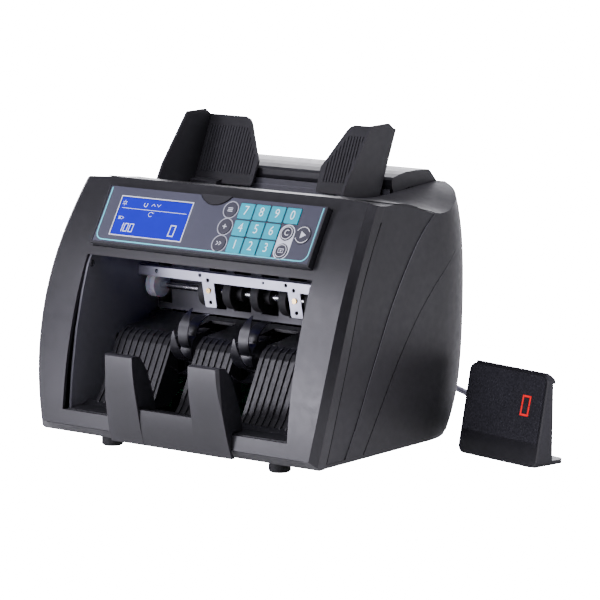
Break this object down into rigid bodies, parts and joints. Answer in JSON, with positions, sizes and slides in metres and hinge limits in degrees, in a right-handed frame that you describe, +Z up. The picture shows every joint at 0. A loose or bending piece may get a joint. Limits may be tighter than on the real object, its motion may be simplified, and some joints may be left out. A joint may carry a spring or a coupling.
{
  "type": "banknote counting machine",
  "caption": "Desktop banknote counter with feed hopper, note guides, stacker pocket, keypad and display panel, and a small customer display on a cord.",
  "frame": {"origin": "middle of the footprint of machine and customer display, on the table under the feet", "axes": "+X to the machine's right as its user faces it, +Y from the front to the rear, +Z up"},
  "size_m": [0.4021, 0.3067, 0.2662],
  "materials": {
    "board_green": "satin",
    "brass_screw": "polished",
    "bright_steel": "polished",
    "brushed_plate": "brushed",
    "case_plastic": "satin",
    "cord_grey": "matte",
    "dark_plastic": "satin",
    "display_black": "satin",
    "foot_rubber": "matte",
    "key_cyan": "satin",
    "key_grey": "satin",
    "lcd_blue": "gloss",
    "overlay_film": "satin",
    "roller_rubber": "matte",
    "socket_black": "matte",
    "white_plastic": "gloss",
    "window_black": "gloss",
    "zinc_steel": "matte"
  },
  "bodies": {
    "chassis": {"base_pan": "case_plastic", "feet": "foot_rubber", "front_bezel": "case_plastic", "left_side_panel": "case_plastic", "right_side_panel": "case_plastic", "rear_shell": "case_plastic", "cover_hinge_rod": "bright_steel", "panel_housing": "case_plastic", "panel_overlay": "overlay_film", "lcd_module": "lcd_blue", "key_board": "board_green", "guide_rail": "bright_steel", "hopper_tray": "dark_plastic", "left_frame": "zinc_steel", "right_frame": "zinc_steel", "pocket_lining": "dark_plastic", "stacker_tray": "dark_plastic", "bill_stop": "case_plastic", "sensor_bracket": "brushed_plate", "bracket_screws": "brass_screw", "drive_motor": "zinc_steel", "drive_belts": "roller_rubber", "main_board": "board_green", "power_supply": "board_green", "mains_inlet": "socket_black", "data_sockets": "socket_black", "display_housing": "display_black", "display_face": "display_black", "display_window": "window_black", "cord_to_coil": "cord_grey", "cord_to_display": "cord_grey", "cord_coil": "cord_grey"},
    "rear_cover": {"rear_cover": "case_plastic"},
    "left_guide": {"left_guide": "dark_plastic"},
    "right_guide": {"right_guide": "dark_plastic"},
    "feed_shaft": {"feed_shaft": "bright_steel", "feed_rollers": "roller_rubber", "guide_roller": "white_plastic"},
    "stacker_shaft": {"stacker_shaft": "bright_steel", "stacker_wheels": "dark_plastic"},
    "pick_shaft": {"pick_shaft": "bright_steel", "pick_rollers": "roller_rubber"},
    "motor_spindle": {"motor_spindle": "bright_steel"},
    "power_rocker": {"power_rocker": "socket_black"},
    "key_0": {"key_0": "key_cyan"},
    "key_1": {"key_1": "key_cyan"},
    "key_2": {"key_2": "key_cyan"},
    "key_3": {"key_3": "key_cyan"},
    "key_4": {"key_4": "key_cyan"},
    "key_5": {"key_5": "key_cyan"},
    "key_6": {"key_6": "key_cyan"},
    "key_7": {"key_7": "key_cyan"},
    "key_8": {"key_8": "key_cyan"},
    "key_9": {"key_9": "key_cyan"},
    "key_mode": {"key_mode": "key_grey"},
    "key_add": {"key_add": "key_grey"},
    "key_speed": {"key_speed": "key_grey"},
    "key_clear": {"key_clear": "key_grey"},
    "key_batch": {"key_batch": "key_grey"},
    "key_start": {"key_start": "key_grey"}
  },
  "joints": [
    {"name": "cover_hinge", "type": "hinge", "parent": "chassis", "child": "rear_cover", "pos_m": [-0.048, 0.093, 0.2093], "axis": [-1, 0, 0], "range_deg": [0, 45]},
    {"name": "left_guide_slide", "type": "slide", "parent": "chassis", "child": "left_guide", "axis": [1, 0, 0], "range_m": [0, 0.028]},
    {"name": "right_guide_slide", "type": "slide", "parent": "chassis", "child": "right_guide", "axis": [-1, 0, 0], "range_m": [0, 0.028]},
    {"name": "feed_spin", "type": "hinge", "parent": "chassis", "child": "feed_shaft", "pos_m": [-0.048, -0.007, 0.122], "axis": [1, 0, 0], "continuous": true},
    {"name": "stacker_spin", "type": "hinge", "parent": "chassis", "child": "stacker_shaft", "pos_m": [-0.048, -0.049, 0.081], "axis": [1, 0, 0], "continuous": true},
    {"name": "pick_spin", "type": "hinge", "parent": "chassis", "child": "pick_shaft", "pos_m": [-0.048, -0.013, 0.167], "axis": [1, 0, 0], "continuous": true},
    {"name": "motor_spin", "type": "hinge", "parent": "chassis", "child": "motor_spindle", "pos_m": [0.052, 0.061, 0.062], "axis": [1, 0, 0], "continuous": true},
    {"name": "rocker_tilt", "type": "hinge", "parent": "chassis", "child": "power_rocker", "pos_m": [-0.0685, 0.1125, 0.04375], "axis": [1, 0, 0], "range_deg": [0, 16]},
    {"name": "press_0", "type": "slide", "parent": "chassis", "child": "key_0", "axis": [0, 0.8598, -0.5107], "range_m": [0, 0.0008], "stiffness_N_per_m": 600, "springref_m": -0.0004},
    {"name": "press_1", "type": "slide", "parent": "chassis", "child": "key_1", "axis": [0, 0.8598, -0.5107], "range_m": [0, 0.0008], "stiffness_N_per_m": 600, "springref_m": -0.0004},
    {"name": "press_2", "type": "slide", "parent": "chassis", "child": "key_2", "axis": [0, 0.8598, -0.5107], "range_m": [0, 0.0008], "stiffness_N_per_m": 600, "springref_m": -0.0004},
    {"name": "press_3", "type": "slide", "parent": "chassis", "child": "key_3", "axis": [0, 0.8598, -0.5107], "range_m": [0, 0.0008], "stiffness_N_per_m": 600, "springref_m": -0.0004},
    {"name": "press_4", "type": "slide", "parent": "chassis", "child": "key_4", "axis": [0, 0.8598, -0.5107], "range_m": [0, 0.0008], "stiffness_N_per_m": 600, "springref_m": -0.0004},
    {"name": "press_5", "type": "slide", "parent": "chassis", "child": "key_5", "axis": [0, 0.8598, -0.5107], "range_m": [0, 0.0008], "stiffness_N_per_m": 600, "springref_m": -0.0004},
    {"name": "press_6", "type": "slide", "parent": "chassis", "child": "key_6", "axis": [0, 0.8598, -0.5107], "range_m": [0, 0.0008], "stiffness_N_per_m": 600, "springref_m": -0.0004},
    {"name": "press_7", "type": "slide", "parent": "chassis", "child": "key_7", "axis": [0, 0.8598, -0.5107], "range_m": [0, 0.0008], "stiffness_N_per_m": 600, "springref_m": -0.0004},
    {"name": "press_8", "type": "slide", "parent": "chassis", "child": "key_8", "axis": [0, 0.8598, -0.5107], "range_m": [0, 0.0008], "stiffness_N_per_m": 600, "springref_m": -0.0004},
    {"name": "press_9", "type": "slide", "parent": "chassis", "child": "key_9", "axis": [0, 0.8598, -0.5107], "range_m": [0, 0.0008], "stiffness_N_per_m": 600, "springref_m": -0.0004},
    {"name": "press_mode", "type": "slide", "parent": "chassis", "child": "key_mode", "axis": [0, 0.8598, -0.5107], "range_m": [0, 0.0008], "stiffness_N_per_m": 600, "springref_m": -0.0004},
    {"name": "press_add", "type": "slide", "parent": "chassis", "child": "key_add", "axis": [0, 0.8598, -0.5107], "range_m": [0, 0.0008], "stiffness_N_per_m": 600, "springref_m": -0.0004},
    {"name": "press_speed", "type": "slide", "parent": "chassis", "child": "key_speed", "axis": [0, 0.8598, -0.5107], "range_m": [0, 0.0008], "stiffness_N_per_m": 600, "springref_m": -0.0004},
    {"name": "press_clear", "type": "slide", "parent": "chassis", "child": "key_clear", "axis": [0, 0.8598, -0.5107], "range_m": [0, 0.0008], "stiffness_N_per_m": 600, "springref_m": -0.0004},
    {"name": "press_batch", "type": "slide", "parent": "chassis", "child": "key_batch", "axis": [0, 0.8598, -0.5107], "range_m": [0, 0.0008], "stiffness_N_per_m": 600, "springref_m": -0.0004},
    {"name": "press_start", "type": "slide", "parent": "chassis", "child": "key_start", "axis": [0, 0.8598, -0.5107], "range_m": [0, 0.0008], "stiffness_N_per_m": 600, "springref_m": -0.0004}
  ],
  "couplings": [
    {"joint": "stacker_spin", "follows": "feed_spin", "ratio": 0.75},
    {"joint": "pick_spin", "follows": "feed_spin", "ratio": 1},
    {"joint": "motor_spin", "follows": "feed_spin", "ratio": 1.5}
  ]
}
